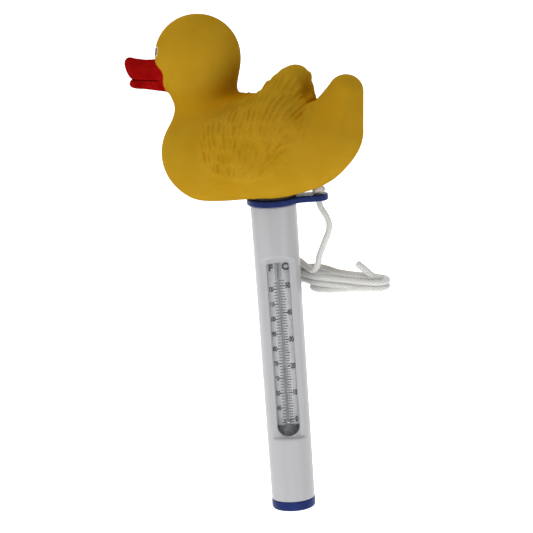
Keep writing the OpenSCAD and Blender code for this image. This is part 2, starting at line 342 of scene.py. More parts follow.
def hank_points():
    """The hank's centreline, from the free stretch's end to the cord's tip."""
    low_left, low_right = LOW_FOLDS
    points = run(-7.5, -11, -1, 2.4, 3.4) + [(-13.3, -1.7, 4.6)]
    points += neck_wraps()
    points += run(-17.5, FAR_FOLD, 1, -2.3, -1.8)
    points += fold(FAR_FOLD, 1, 1, -1.8, -2.2)
    points += run(FAR_FOLD, low_left, -1, -2.2, -4.9)
    points += fold(low_left, -1, -1, -4.9, -4.8)
    points += run(low_left, low_right, 1, -4.8, -4.6)
    points += fold(low_right, 1, 1, -4.6, -2.5)
    points += run(low_right, -17.5, -1, -2.4, -2.2)
    points += left_loop(-2.2, 0)
    points += run(-17.5, FAR_FOLD, 1, 0, 0.4)
    points += fold(FAR_FOLD, 1, 1, 0.4, 0.2)
    points += run(FAR_FOLD, -17.5, -1, 0.2, 0)
    points += left_loop(0, 2.4)
    points += run(-17.5, -9, 1, 2.4, 2.3)
    points += [(-5, 3.9, 1.9), (-1, 3.1, 1.3), (3, 2.7, 1.0), (8, 2.6, 0.9), (13, 2.6, 1.0)]
    points += [(18.2, 2.0, 1.1), (19.6, 0, 1.3), (18.8, -1.9, 1.9), (17, -2.6, 3.0)]
    points += [(15.2, -2.8, 4.4), (13.2, -2.9, 5.8), (11.4, -3.0, 7.1)]
    return points


def through(points, spacing):
    """Evenly spaced points on a smooth curve through the given ones (Catmull-Rom)."""
    p = np.asarray(points, float)
    p = np.vstack([2 * p[0] - p[1], p, 2 * p[-1] - p[-2]])
    t = np.linspace(0, 1, 16, endpoint=False)[:, None]
    out = []
    for a, b, c, d in zip(p[:-3], p[1:-2], p[2:-1], p[3:]):
        bend = (2 * a - 5 * b + 4 * c - d) * t * t + (3 * b - a - 3 * c + d) * t ** 3
        out.append(0.5 * (2 * b + (c - a) * t + bend))
    out.append(p[-2][None])
    curve = np.vstack(out)
    walked = np.r_[0, np.cumsum(np.linalg.norm(np.diff(curve, axis=0), axis=1))]
    even = np.linspace(0, walked[-1], int(walked[-1] / spacing) + 1)
    return np.stack([np.interp(even, walked, column) for column in curve.T], 1)


def rings_along(path, radius_at, sides, closed=False):
    """Points and quads of a tube along a path. radius_at(s, turn) gives its radius there."""
    tangent = np.gradient(path, axis=0)
    if closed:
        tangent = np.roll(path, -1, 0) - np.roll(path, 1, 0)
    tangent /= np.linalg.norm(tangent, axis=1)[:, None]
    side = np.cross(tangent[0], (0.0, 1.0, 0.0))
    side /= np.linalg.norm(side)
    turn = np.arange(sides) * 2 * np.pi / sides
    walked = np.r_[0, np.cumsum(np.linalg.norm(np.diff(path, axis=0), axis=1))]
    verts = []
    for p, t, s in zip(path, tangent, walked):
        side = side - (side @ t) * t
        side /= np.linalg.norm(side)
        over = np.cross(t, side)
        r = radius_at(s, turn)[:, None]
        verts.append(p + r * (np.cos(turn)[:, None] * side + np.sin(turn)[:, None] * over))
    n = len(path)
    faces = []
    for i in range(n if closed else n - 1):
        a, b = i * sides, ((i + 1) % n) * sides
        faces += [(a + k, a + (k + 1) % sides, b + (k + 1) % sides, b + k) for k in range(sides)]
    if not closed:
        faces.append(tuple(range(sides))[::-1])
        faces.append(tuple(range((n - 1) * sides, n * sides)))
    return np.vstack(verts), faces


def braid(s, turn):
    """Radius of the braided cord: six yarns each way, crossing over and under."""
    one = np.cos(3 * turn + 1.9 * s)
    other = np.cos(3 * turn - 1.9 * s)
    return CORD_R * (0.985 + 0.055 * np.maximum(one * one, other * other) - 0.025)


def add_braid_map(obj, path, sides):
    """A UV map along and around the cord, for the yarns in its material."""
    count = len(path)
    layer = obj.data.uv_layers.new(name="braid")
    index = np.zeros(len(obj.data.loops), np.int32)
    obj.data.loops.foreach_get("vertex_index", index)
    walked = np.r_[0, np.cumsum(np.linalg.norm(np.diff(path, axis=0), axis=1))]
    uv = np.stack([(index % sides) / sides, walked[np.minimum(index // sides, count - 1)]], 1)
    layer.data.foreach_set("uv", uv.astype(np.float32).ravel())


def make_cord(material):
    """The cord from under its knot to its tip, a little swollen and closed at the tip."""
    path = through(FREE_ROUTE + from_hank(hank_points()).tolist(), 0.5)
    for _ in range(6):
        path[1:-1] = path[1:-1] * 0.5 + (path[:-2] + path[2:]) * 0.25
    path = through(path, 0.3)
    tip = path[-1] + (path[-1] - path[-2]) / np.linalg.norm(path[-1] - path[-2]) * 0.4
    sides = 24
    total = 0.3 * len(path)

    def radius(s, turn):
        end = np.clip((total - s) / 0.9, 0.0, 1.0)
        swell = 1 + 0.14 * smooth_step(s, total - 9, total - 4)
        return braid(s, turn) * swell * (0.72 + 0.28 * math.sqrt(end))

    verts, faces = rings_along(np.vstack([path, tip]), radius, sides)
    cord = make_object("cord_braided", verts, faces)
    add_braid_map(cord, np.vstack([path, tip]), sides)
    finish_piece(cord, material, "cord_braid", "cord", "cord_hank", "hank_tie", "cord_end")
    return cord, path


def make_knot(material):
    """A tight overhand knot above the tab, from one closed trefoil of cord."""
    t = np.linspace(0, 2 * math.pi, 150, endpoint=False)
    ring = 1.25 + 0.55 * np.cos(3 * t)
    middle = (KNOT_LOW[2] + KNOT_HIGH[2]) / 2
    path = np.stack([HOLE_X + ring * np.cos(2 * t), ring * np.sin(2 * t), middle + 0.5 * np.sin(3 * t)], 1)
    verts, faces = rings_along(path, lambda s, turn: 0.86 * braid(s, turn), 20, closed=True)
    knot = make_object("stopper_knot", verts, faces)
    add_braid_map(knot, path, 20)
    return finish_piece(knot, material, "cord_braid", "cord_knot")


# ---------------------------------------------------------------- materials

class Paint:
    """A Principled material with short calls for the nodes used here."""

    def __init__(self, name, base, roughness, **sockets):
        self.material = bpy.data.materials.new(name)
        self.material.use_nodes = True
        self.tree = self.material.node_tree
        self.shader = self.tree.nodes["Principled BSDF"]
        self.shader.inputs["Base Color"].default_value = (*base, 1)
        self.shader.inputs["Roughness"].default_value = roughness
        for socket, value in sockets.items():
            self.shader.inputs[socket.replace("_", " ")].default_value = value

    def node(self, kind, **values):
        made = self.tree.nodes.new(kind)
        for key, value in values.items():
            if key in made.inputs:
                made.inputs[key].default_value = value
            else:
                setattr(made, key, value)
        return made

    def link(self, a, b):
        self.tree.links.new(a, b)

    def coords(self):
        return self.node("ShaderNodeTexCoord").outputs["Object"]

    def noise(self, scale, detail=3.0, stretch=None, source=None):
        made = self.node("ShaderNodeTexNoise", Scale=scale, Detail=detail)
        vector = source or self.coords()
        if stretch:
            mapping = self.node("ShaderNodeMapping", Scale=stretch)
            self.link(vector, mapping.inputs["Vector"])
            vector = mapping.outputs["Vector"]
        self.link(vector, made.inputs["Vector"])
        return made.outputs["Fac"]

    def attribute(self, name):
        return self.node("ShaderNodeAttribute", attribute_name=name).outputs["Fac"]

    def spread(self, value, low_in, high_in, low_out=0.0, high_out=1.0):
        made = self.node("ShaderNodeMapRange")
        made.inputs["From Min"].default_value = low_in
        made.inputs["From Max"].default_value = high_in
        made.inputs["To Min"].default_value = low_out
        made.inputs["To Max"].default_value = high_out
        self.link(value, made.inputs["Value"])
        return made.outputs["Result"]

    def maths(self, operation, a, b):
        made = self.node("ShaderNodeMath", operation=operation)
        for socket, value in zip(made.inputs, (a, b)):
            if isinstance(value, (int, float)):
                socket.default_value = value
            else:
                self.link(value, socket)
        return made.outputs[0]

    def mix(self, fac, a, b):
        made = self.node("ShaderNodeMix", data_type="RGBA")
        self.link(fac, made.inputs["Factor"])
        for socket, value in ((made.inputs[6], a), (made.inputs[7], b)):
            if isinstance(value, tuple):
                socket.default_value = (*value, 1)
            else:
                self.link(value, socket)
        return made.outputs[2]

    def colour(self, value):
        self.link(value, self.shader.inputs["Base Color"])
        return self

    def rough(self, value):
        self.link(value, self.shader.inputs["Roughness"])
        return self

    def bump(self, height, strength, distance):
        made = self.node("ShaderNodeBump", Strength=strength, Distance=distance)
        self.link(height, made.inputs["Height"])
        if self.shader.inputs["Normal"].links:
            self.link(self.shader.inputs["Normal"].links[0].from_socket, made.inputs["Normal"])
        self.link(made.outputs["Normal"], self.shader.inputs["Normal"])
        return self


def vinyl_material():
    """Matt yellow vinyl with painted shade, a deeper orange in its folds, and a red sprayed beak with a
    soft edge.
    """
    p = Paint("vinyl_satin", (0.38, 0.215, 0.007), 0.5, Specular_IOR_Level=0.0)
    blotch = p.noise(90, 4)
    plain = p.mix(p.spread(blotch, 0.35, 0.65), (0.365, 0.203, 0.009), (0.40, 0.226, 0.013))
    # Painted shade: the folds of the skin turn a deeper, darker orange by the hollow attribute.
    hollow_shade_colour = p.mix(p.attribute("hollow"), plain, (0.40, 0.18, 0.002))
    edge = p.maths("ADD", p.attribute("paint"), p.spread(p.noise(500, 3), 0.3, 0.7, -0.08, 0.08))
    orange = p.mix(p.spread(edge, 0.30, 0.50), hollow_shade_colour, (0.36, 0.06, 0.004))
    speckle = p.mix(p.spread(p.noise(260, 4), 0.35, 0.7), (0.22, 0.002, 0.002), (0.29, 0.005, 0.004))
    p.colour(p.mix(p.spread(edge, 0.48, 0.66), orange, speckle))
    p.rough(p.spread(p.noise(140, 3), 0.3, 0.7, 0.46, 0.58))
    p.bump(p.noise(1400, 2), 0.10, 0.0002)
    p.bump(p.noise(170, 2), 0.12, 0.0006)
    return p.material


def eye_material(name, base):
    """Thin matt eye paint with a faint brush grain."""
    p = Paint(name, base, 0.45, Specular_IOR_Level=0.04)
    light = tuple(min(1.0, c * 1.35 + 0.01) for c in base)
    p.colour(p.mix(p.spread(p.noise(900, 3), 0.35, 0.65), base, light))
    p.bump(p.noise(1500, 2), 0.15, 0.0001)
    return p.material


def blue_material():
    """Moulded navy plastic with faint rubbing."""
    p = Paint("plastic_navy", (0.006, 0.018, 0.11), 0.34, Specular_IOR_Level=0.12)
    p.colour(p.mix(p.spread(p.noise(160, 4), 0.35, 0.65), (0.005, 0.016, 0.10), (0.010, 0.025, 0.135)))
    p.rough(p.spread(p.noise(900, 5, stretch=(1, 1, 0.12)), 0.35, 0.75, 0.3, 0.45))
    p.bump(p.noise(2200, 3), 0.06, 0.0001)
    return p.material


def tube_material():
    """Silver grey moulded plastic, satin, with faint flow streaks down its length."""
    p = Paint("plastic_silver", (0.42, 0.42, 0.44), 0.36, Metallic=0.15)
    streak = p.noise(120, 3, stretch=(1, 1, 0.06))
    p.colour(p.mix(p.spread(streak, 0.3, 0.7), (0.385, 0.385, 0.405), (0.435, 0.435, 0.45)))
    p.rough(p.spread(p.noise(700, 4, stretch=(1, 1, 0.3)), 0.3, 0.7, 0.32, 0.42))
    p.bump(p.noise(3000, 2), 0.05, 0.00008)
    return p.material


def rubber_material(name, base):
    p = Paint(name, base, 0.75)
    light = tuple(c * 1.5 + 0.01 for c in base)
    p.colour(p.mix(p.spread(p.noise(700, 5), 0.3, 0.7), base, light))
    p.bump(p.noise(1800, 4), 0.35, 0.0002)
    return p.material


def steel_material():
    p = Paint("steel_turned", (0.45, 0.45, 0.46), 0.35, Metallic=1.0)
    rings = p.noise(400, 2, stretch=(0.05, 0.05, 6))
    p.colour(p.mix(p.spread(rings, 0.3, 0.7), (0.40, 0.40, 0.41), (0.5, 0.5, 0.51)))
    p.rough(p.spread(rings, 0.3, 0.7, 0.28, 0.45))
    p.bump(rings, 0.3, 0.0001)
    return p.material


def glass_material(name, tint, clear, edge):
    """Thin clear glass: nearly unseen face on, brighter and denser towards its edges."""
    p = Paint(name, tint, 0.06, IOR=1.5, Specular_IOR_Level=0.6)
    facing = p.node("ShaderNodeLayerWeight", Blend=0.35).outputs["Facing"]
    smear = p.spread(p.noise(300, 3), 0.35, 0.75, 0.0, 0.05)
    p.link(p.maths("ADD", p.spread(facing, 0.0, 1.0, clear, edge), smear), p.shader.inputs["Alpha"])
    p.rough(p.spread(p.noise(500, 3), 0.3, 0.7, 0.04, 0.12))
    p.bump(p.noise(60, 2), 0.03, 0.0003)
    return p.material


def card_material():
    """White printed card with faint fibres."""
    p = Paint("card_white", (0.62, 0.62, 0.63), 0.55)
    p.colour(p.mix(p.spread(p.noise(1100, 6), 0.3, 0.7), (0.86, 0.86, 0.88), (0.95, 0.95, 0.96)))
    p.rough(p.spread(p.noise(800, 4), 0.3, 0.7, 0.45, 0.65))
    p.bump(p.noise(2500, 4, stretch=(1, 1, 0.3)), 0.15, 0.0001)
    return p.material


def ink_material():
    p = Paint("ink_dark", (0.02, 0.02, 0.025), 0.5)
    p.colour(p.mix(p.spread(p.noise(2500, 3), 0.35, 0.7), (0.012, 0.012, 0.016), (0.05, 0.05, 0.06)))
    p.bump(p.noise(3000, 2), 0.1, 0.00005)
    return p.material


def tie_material():
    p = Paint("wire_tinned", (0.45, 0.44, 0.42), 0.35, Metallic=1.0)
    p.colour(p.mix(p.spread(p.noise(1500, 4), 0.3, 0.7), (0.38, 0.37, 0.35), (0.52, 0.51, 0.49)))
    p.bump(p.noise(3000, 2), 0.15, 0.00005)
    return p.material


def spirit_material():
    p = Paint("spirit_dark", (0.012, 0.012, 0.02), 0.12, Coat_Weight=0.5)
    p.colour(p.mix(p.spread(p.noise(600, 2), 0.3, 0.7), (0.010, 0.010, 0.018), (0.03, 0.03, 0.045)))
    p.rough(p.spread(p.noise(400, 2), 0.3, 0.7, 0.08, 0.18))
    return p.material


def cotton_material():
    p = Paint("cotton_white", (0.7, 0.7, 0.68), 0.9, Sheen_Weight=0.4)
    p.colour(p.mix(p.spread(p.noise(1200, 6), 0.3, 0.7), (0.55, 0.55, 0.53), (0.8, 0.8, 0.78)))
    p.bump(p.noise(1600, 6), 0.8, 0.0006)
    return p.material


def cord_material():
    """Off-white braided cord, its yarns drawn from the map along and around it, with painted shade in the
    grooves between the yarns.
    """
    p = Paint("braid_white", (0.72, 0.71, 0.69), 0.62, Sheen_Weight=0.25, Sheen_Roughness=0.5)
    uv = p.node("ShaderNodeUVMap", uv_map="braid")
    parts = p.node("ShaderNodeSeparateXYZ")
    p.link(uv.outputs["UV"], parts.inputs[0])
    around = p.maths("MULTIPLY", parts.outputs[0], 2 * math.pi * 6)
    along = p.maths("MULTIPLY", parts.outputs[1], 3.8)
    one = p.maths("COSINE", p.maths("ADD", around, along), 0.0)
    other = p.maths("COSINE", p.maths("SUBTRACT", around, along), 0.0)
    yarns = p.maths("MAXIMUM", one, other)
    threads = p.maths("SINE", p.maths("MULTIPLY", p.maths("ADD", around, along), 5.0), 0.0)
    height = p.maths("ADD", yarns, p.maths("MULTIPLY", threads, 0.12))
    fuzz = p.noise(900, 5)
    # Painted shade between the yarns: darker in the braid's grooves, lighter on the crowns, with random
    # fuzz tone.
    shade = p.maths("ADD", p.spread(yarns, -0.2, 1.0, 0.0, 0.7), p.spread(fuzz, 0.3, 0.7, 0.0, 0.3))
    p.colour(p.mix(shade, (0.52, 0.52, 0.50), (0.74, 0.74, 0.72)))
    p.bump(height, 0.35, 0.00012)
    p.bump(fuzz, 0.25, 0.0001)
    return p.material


# ---------------------------------------------------------------- duck

HEAD_CENTRE = np.array([-28.0, 0.0, 56.0])
HEAD_R = 16
EYE_TURN = math.radians(31.5)
EYE_RISE = 0.185
EYE_SINK = 0.05
NOTCH_TURN = math.radians(22)
NOTCH_DROP = math.radians(12.4)
# Edge of the wing in the duck's side view, and the span of the map its relief is kept in.
WING_EDGE = [
    (-21, 26), (-19, 16.5), (-11, 11.4), (0, 10.6), (10, 12.8), (18.6, 20.2),
    (23.5, 29), (23, 38), (17, 50), (2, 54), (-12, 42),
]
MAP_LOW = np.array([-30.0, 4.0])
MAP_HIGH = np.array([34.0, 62.0])
MAP_STEP = 0.2


def outline_distance(u, w, corners):
    """Signed distance from a closed outline in the duck's side view, inside negative."""
    best = np.full(u.shape, 1e9)
    inside = np.zeros(u.shape, bool)
    for (ax, az), (bx, bz) in zip(corners, np.roll(corners, -1, axis=0)):
        ex, ez = bx - ax, bz - az
        t = np.clip(((u - ax) * ex + (w - az) * ez) / (ex * ex + ez * ez), 0, 1)
        best = np.minimum(best, (u - ax - t * ex) ** 2 + (w - az - t * ez) ** 2)
        crosses = (az > w) != (bz > w)
        inside ^= crosses & (u < (w - az) * ex / (ez if ez else 1e-9) + ax)
    return np.where(inside, -1, 1) * np.sqrt(best)


def feather_strokes():
    """Short raised barbs over the wing: (u, w, angle, length, height)."""
    rng = np.random.default_rng(7)
    strokes = []
    for row in range(7):
        for column in range(20):
            u = -19 + 2.3 * column + 1.15 * (row % 2) + rng.uniform(-0.4, 0.4)
            w = 14.5 + 5.4 * row + rng.uniform(-0.9, 0.9)
            lean = np.clip(90 - 1.55 * (u + 14) + 0.75 * (w - 20), 32, 100)
            a = math.radians(lean + rng.uniform(-7, 7))
            strokes.append((u, w, a, rng.uniform(4.6, 7.2), rng.uniform(0.34, 0.62)))
    return strokes


def wing_relief():
    """Height of the raised wing and its barbs over the smooth body, on a fine map."""
    axes = [np.arange(a, b, MAP_STEP) for a, b in zip(MAP_LOW, MAP_HIGH)]
    u, w = np.meshgrid(*axes, indexing="ij")
    edge = through(WING_EDGE + WING_EDGE[:1], 1.6)[:-1]
    scallop = 0.5 * np.abs(np.sin(0.55 * (u + w)))
    inside = scallop - outline_distance(u, w, edge)
    total = np.zeros(u.shape)
    for cu, cw, a, length, height in feather_strokes():
        along = (u - cu) * math.cos(a) + (w - cw) * math.sin(a)
        across = -(u - cu) * math.sin(a) + (w - cw) * math.cos(a) - 0.02 * along * along
        reach = np.exp(-(along / (0.45 * length)) ** 4)
        hollow = np.exp(-((across + 1.1) / 0.6) ** 2)
        total += height * reach * (np.exp(-(across / 0.6) ** 2) - 0.7 * hollow)
    return 0.75 * smooth_step(inside, -0.8, 1.6) + total * smooth_step(inside, 0.8, 3.0)


RELIEF = wing_relief()


def relief_at(u, w):
    """The wing's relief read off its map, between its points."""
    a = np.clip((u - MAP_LOW[0]) / MAP_STEP, 0, RELIEF.shape[0] - 1.001)
    b = np.clip((w - MAP_LOW[1]) / MAP_STEP, 0, RELIEF.shape[1] - 1.001)
    i, j = a.astype(int), b.astype(int)
    a, b = a - i, b - j
    low_row = RELIEF[i, j] * (1 - b) + RELIEF[i, j + 1] * b
    high_row = RELIEF[i + 1, j] * (1 - b) + RELIEF[i + 1, j + 1] * b
    return low_row * (1 - a) + high_row * a


def notch_shape(x, y, z):
    """Notch between wing and tail, level over the near side, then forward and down."""
    aside = np.hypot(np.maximum(y, 0), 2)
    u = x * math.cos(NOTCH_TURN) + aside * math.sin(NOTCH_TURN)
    beyond = aside * math.cos(NOTCH_TURN) - x * math.sin(NOTCH_TURN)
    v = z * math.cos(NOTCH_DROP) + beyond * math.sin(NOTCH_DROP)
    return cone(u, 0, v, (20.1, 0, 35.6), (22.2, 0, 43.5), 0.9, 4.3)


def duck_shape(x, y, z):
    """Body, head, wings and tail, in the duck's own frame heading along -X."""
    f = egg(x, y, z, (-21.7, 0, 17.4), (22.6, 25, 20.9))
    f = join(f, egg(x, y, z, (1.4, 0, 19.7), (26.6, 29.6, 20.4)), 9)
    f = join(f, egg(x, y, z, (18.8, 0, 22.1), (16.3, 21, 16.4)), 9)
    f = join(f, cone(x, y / 1.25, z, (25.5, 0, 25), (33.5, 0, 41), 13.2, 6.9), 4)
    f = cut(f, -1.4 - z, 2)
    f = join(f, egg(x, y, z, (-27, 0, 46), (12.2, 13, 19.2)), 7.5)
    f = join(f, egg(x, y, z, (-28, 0, 56), (17.2, 15.8, 16.6)), 7)
    for side in (-1, 1):
        wing = cone(x, y, z, (-10, side * 18, 25), (8, side * 17, 28), 10, 11)
        tip = cone(x, y, z, (6.4, side * 15, 31.4), (11.6, side * 3, 45.6), 10.2, 5.9)
        f = join(f, join(wing, tip, 5), 3)
    f = join(f, egg(x, y, z, (10.5, 0, 37), (5.6, 10, 9)), 3)
    return cut(f, -notch_shape(x, y, z), 1.5)


def beak_shape(x, y, z):
    """Open bill: a tall upper lip flared at its tip over a shorter lower lip."""
    upper = cone(x, y / 1.6, z, (-41, 0, 49.6), (-54, 0, 50), 5.6, 3.9)
    upper = join(upper, cone(x, y / 2.2, z, (-51, 0, 50), (-58.5, 0, 53.1), 2.4, 2.4), 3)
    upper = cut(upper, 0.95 * (0.325 * (55.2 - z) - 58.6 - x), 0.6)
    lower = cone(x, y / 1.5, z, (-40, 0, 46.4), (-52.6, 0, 45.4), 5, 2.6)
    lower = join(lower, egg(x, y, z, (-54.8, 0, 45.4), (2.6, 6, 2.3)), 1.5)
    bill = join(upper, lower, 0.8)
    mouth = np.maximum(np.abs(z - 47.2) - 0.12, -(bill + 0.45))
    return cut(bill, -mouth, 0.4)


def duck_field(x, y, z):
    """The whole skin with the wing's relief, the foot on the collar and the boss's hole."""
    body = duck_shape(x, y, z) - relief_at(x, z) * smooth_step(np.abs(y), 4, 9)
    body = join(body, beak_shape(x, y, z), 1.6)
    rho = np.hypot(x, y)
    foot_r, seat_r, hole_r = COLLAR_R - 1.3, COLLAR_R - 0.9, 8.4
    body = join(body, np.maximum(rho - foot_r, np.abs(z - 1) - 1.9), 1.5)
    seat = np.maximum(rho - seat_r, z)
    over_collar = np.maximum(rho - 24, z + DUCK_BASE - SEAT - 0.08)
    hole = np.maximum(rho - hole_r, z - 9)
    body = np.maximum(body, -np.minimum(seat, over_collar))
    return cut(body, -hole, 0.7)


def to_world(p):
    """From the duck's own frame to the row frame."""
    c, s = math.cos(DUCK_YAW), math.sin(DUCK_YAW)
    return np.stack([p[:, 0] * c + p[:, 1] * s, -p[:, 0] * s + p[:, 1] * c, p[:, 2] + DUCK_BASE], 1)


def paint_amount(p):
    """1 on the beak and 0 on the yellow skin, with the spray reaching a little onto the face."""
    overspray = 2.6 * np.exp(-((p[:, 2] - 51) / 4) ** 2)
    return smooth_step(duck_shape(*p.T) - beak_shape(*p.T) + overspray, -1.0, 1.6)


def hollow_amount(p, normal):
    """How far down in a fold of the skin a point lies, from 0 to 1: the mask of the painted shade in the
    vinyl.
    """
    near = 1 - duck_field(*(p + 1.2 * normal).T) / 1.2
    wide = 1 - duck_shape(*(p + 5 * normal).T) / 5
    return np.clip(0.35 * np.clip(near, 0, 1) + 1.5 * np.clip(wide - 0.06, 0, 1), 0, 1)


def make_duck(material, step):
    """The skin, parted into yellow vinyl and the sprayed beak, which share one material."""
    p, quads = solid_from(duck_field, (-64, -34, -2), (46, 34, 78), (step, step, step))
    g = gradient(duck_field, p, 0.2)
    normal = g / np.linalg.norm(g, axis=1)[:, None]
    paint = paint_amount(p)
    hollow = hollow_amount(p, normal)
    world = to_world(p)
    on_beak = paint[quads].mean(1) > 0.5
    for name, chosen, slot in (("duck_skin", ~on_beak, "duck_vinyl"), ("duck_beak", on_beak, "beak_paint")):
        used, index = np.unique(quads[chosen], return_inverse=True)
        obj = make_object(name, world[used], index.reshape(-1, 4), body="duck")
        set_attribute(obj, "paint", paint[used])
        # The fold depth, which the vinyl's material turns into painted shade.
        set_attribute(obj, "hollow", hollow[used])
        normals = to_world(normal[used]) - np.array([0, 0, DUCK_BASE])
        obj.data.normals_split_custom_set_from_vertices(normals.tolist())
        finish_piece(obj, material, slot, *(["duck_body"] if slot == "duck_vinyl" else []))


def pull_to_skin(p):
    """Points moved on to the duck's skin, and the skin's outward direction there."""
    for _ in range(6):
        g = gradient(duck_field, p)
        p = p - g * (duck_field(*p.T) / np.maximum((g * g).sum(1), 0.2))[:, None]
    g = gradient(duck_field, p)
    return p, g / np.linalg.norm(g, axis=1)[:, None]


def make_eye_spot(name, material, side, half, lift):
    """A thin spot of paint on the head, laid on the skin and slightly domed."""
    forward = np.array([-math.cos(EYE_TURN), side * math.sin(EYE_TURN), EYE_RISE])
    forward /= np.linalg.norm(forward)
    across = np.cross(forward, (0, 0, 1.0))
    across /= np.linalg.norm(across)
    upward = np.cross(across, forward)
    rings, sides = 8, 40
    verts = [HEAD_CENTRE + forward * HEAD_R]
    height = [lift]
    for i in range(1, rings + 1):
        r = i / rings
        for a in np.arange(sides) * 2 * math.pi / sides:
            spread = across * half[0] * r * math.cos(a) + upward * half[1] * r * math.sin(a)
            verts.append(verts[0] + spread)
            height.append(lift * math.sqrt(1 - r * r) - EYE_SINK * (i == rings))
    p, normal = pull_to_skin(np.array(verts))
    p += normal * np.array(height)[:, None]
    faces = [(0, 1 + k, 1 + (k + 1) % sides) for k in range(sides)]
    for i in range(rings - 1):
        a, b = 1 + i * sides, 1 + (i + 1) * sides
        faces += [(a + k, b + k, b + (k + 1) % sides, a + (k + 1) % sides) for k in range(sides)]
    if side > 0:
        faces = [f[::-1] for f in faces]
    obj = make_object(name, to_world(p), faces, body="duck")
    return finish_piece(obj, material, "eye_paint")


def make_eyes():
    """Two eyes, each a white spot, a black pupil on it and a small painted highlight of white paint."""
    white = eye_material("paint_eye_white", (0.75, 0.75, 0.72))
    black = eye_material("paint_eye_black", (0.008, 0.008, 0.008))
    for side, name in ((-1, "near"), (1, "far")):
        make_eye_spot(f"eye_white_{name}", white, side, (1.65, 2.1), 0.08)
        make_eye_spot(f"eye_pupil_{name}", black, side, (1.4, 1.8), 0.16)
        # A small white dot of paint on the pupil: a painted highlight.
        make_eye_spot(f"eye_painted_highlight_{name}", white, side, (0.35, 0.45), 0.2)


# ---------------------------------------------------------------- tube and caps

def slot_outline(x, z):
    """Distance to the window's outline: a round foot and a straight head."""
    half = WINDOW_W / 2
    corner = 1.2
    along = z - np.clip(z, WINDOW_FOOT + half, WINDOW_TOP - half)
    middle = (WINDOW_TOP + WINDOW_FOOT + half) / 2
    wide = np.abs(x) - half + corner
    tall = np.abs(z - middle) - (WINDOW_TOP - middle) + corner
    box = np.hypot(np.maximum(wide, 0), np.maximum(tall, 0)) + np.minimum(np.maximum(wide, tall), 0)
    return np.minimum(np.hypot(x, along) - half, box - corner)


def tube_field(x, y, z):
    """Round tapered tube with a flat window frame let into its front and a D bore."""
    rho = np.hypot(x, y)
    share = (z - TUBE_FOOT) / (TUBE_TOP - TUBE_FOOT)
    body = rho - (TUBE_FOOT_R + (TUBE_TOP_R - TUBE_FOOT_R) * share)
    body = cut(body, np.abs(z - (TUBE_TOP + TUBE_FOOT) / 2) - (TUBE_TOP - TUBE_FOOT) / 2, 0.4)
    head_slope = 0.8
    gap = 0.4
    recess = np.maximum(y - FRAME_Y, z - WINDOW_TOP - gap + head_slope * (y - FRAME_Y))
    recess = np.maximum(recess, WINDOW_FOOT - gap - z)
    body = cut(body, -recess, 0.7)
    bore = cut(rho - BORE_R, FRAME_Y + FRAME_T - y, 0.3)
    body = cut(body, -bore, 0.3)
    return cut(body, -np.maximum(slot_outline(x, z), y), 0.6)


def make_tube(material):
    corner = (-10, -10, TUBE_FOOT - 1)
    far_corner = (10, 10, TUBE_TOP + 1)
    verts, quads = solid_from(tube_field, corner, far_corner, (0.36, 0.36, 0.5))
    return finish_piece(make_object("tube_shell", verts, quads), material, "tube_plastic", "tube")


def collar_field(x, y, z):
    """Collar and tab with rounded edges, and the boss, its barb and the plug on the axis."""
    rho = np.hypot(x, y)
    tab_half, eyelet_r = 4.5, 1.6
    boss_r, barb_r, hollow_r = 8.0, 9.8, 5.6
    barb_level = DUCK_BASE + 3.6
    tab = np.hypot(x - np.clip(x, 0, TAB_TIP - tab_half), y) - tab_half
    between = np.abs(z - (SEAT + TUBE_TOP) / 2) - (SEAT - TUBE_TOP) / 2
    plate = cut(join(rho - COLLAR_R, tab, 2.5), between, 0.6)
    plate = cut(plate, eyelet_r - np.hypot(x - HOLE_X, y), 0.6)
    boss = cut(rho - np.where(z < TUBE_TOP, BORE_R, boss_r), z - high("top_cap")[2], 0.6)
    boss = cut(boss, low("top_cap")[2] - z, 0.6)
    barb = cut(rho - barb_r, np.abs(z - barb_level) - 0.7, 0.5)
    solid = np.minimum(np.minimum(plate, boss), barb)
    return cut(solid, -np.maximum(rho - hollow_r, -between), 0.4)



def make_top_cap(material):
    box_low, box_high = low("top_cap"), high("top_cap")
    verts, quads = solid_from(collar_field, box_low - 1, box_high + 1, (0.34, 0.34, 0.26))
    return finish_piece(make_object("cap_with_tab", verts, quads), material, "blue_plastic", "top_cap")


def make_bottom_cap(material):
    """Foot cap: a rounded band flush with the tube, a dimple below and a skirt up the bore."""
    band_r = TUBE_FOOT_R + 0.1
    edge = 1.2
    profile = [(0.001, CAP_FOOT), (2.5, CAP_FOOT + 0.35), (3.0, CAP_FOOT)]
    profile += arc(band_r - edge, CAP_FOOT + edge, edge, -90, 0, 8)
    profile += arc(band_r - 0.25, TUBE_FOOT - 0.25, 0.25, 0, 90, 4)
    profile += [(BORE_R, TUBE_FOOT), (BORE_R, TUBE_FOOT + 7.6), (BORE_R - 0.4, TUBE_FOOT + 8)]
    profile += [(BORE_R - 1.5, TUBE_FOOT + 8), (BORE_R - 1.5, TUBE_FOOT + 1), (0.001, TUBE_FOOT + 1)]
    verts, faces = lathe(profile)
    return finish_piece(make_object("cap_foot", verts, faces), material, "blue_plastic", "bottom_cap")


def make_seal(material):
    """Flat rubber ring between the collar and the belly."""
    inner, outer = 8.05, COLLAR_R - 1.2
    profile = [(inner, SEAT), (inner, DUCK_BASE)]
    profile += arc(outer - 0.3, DUCK_BASE - 0.3, 0.3, 90, 0, 4)
    profile += arc(outer - 0.3, SEAT + 0.3, 0.3, 0, -90, 4)
    verts, faces = lathe(profile[::-1])
    return finish_piece(make_object("seal_ring", verts, faces), material, "black_rubber", "duck_seal")


# ---------------------------------------------------------------- glass thermometer

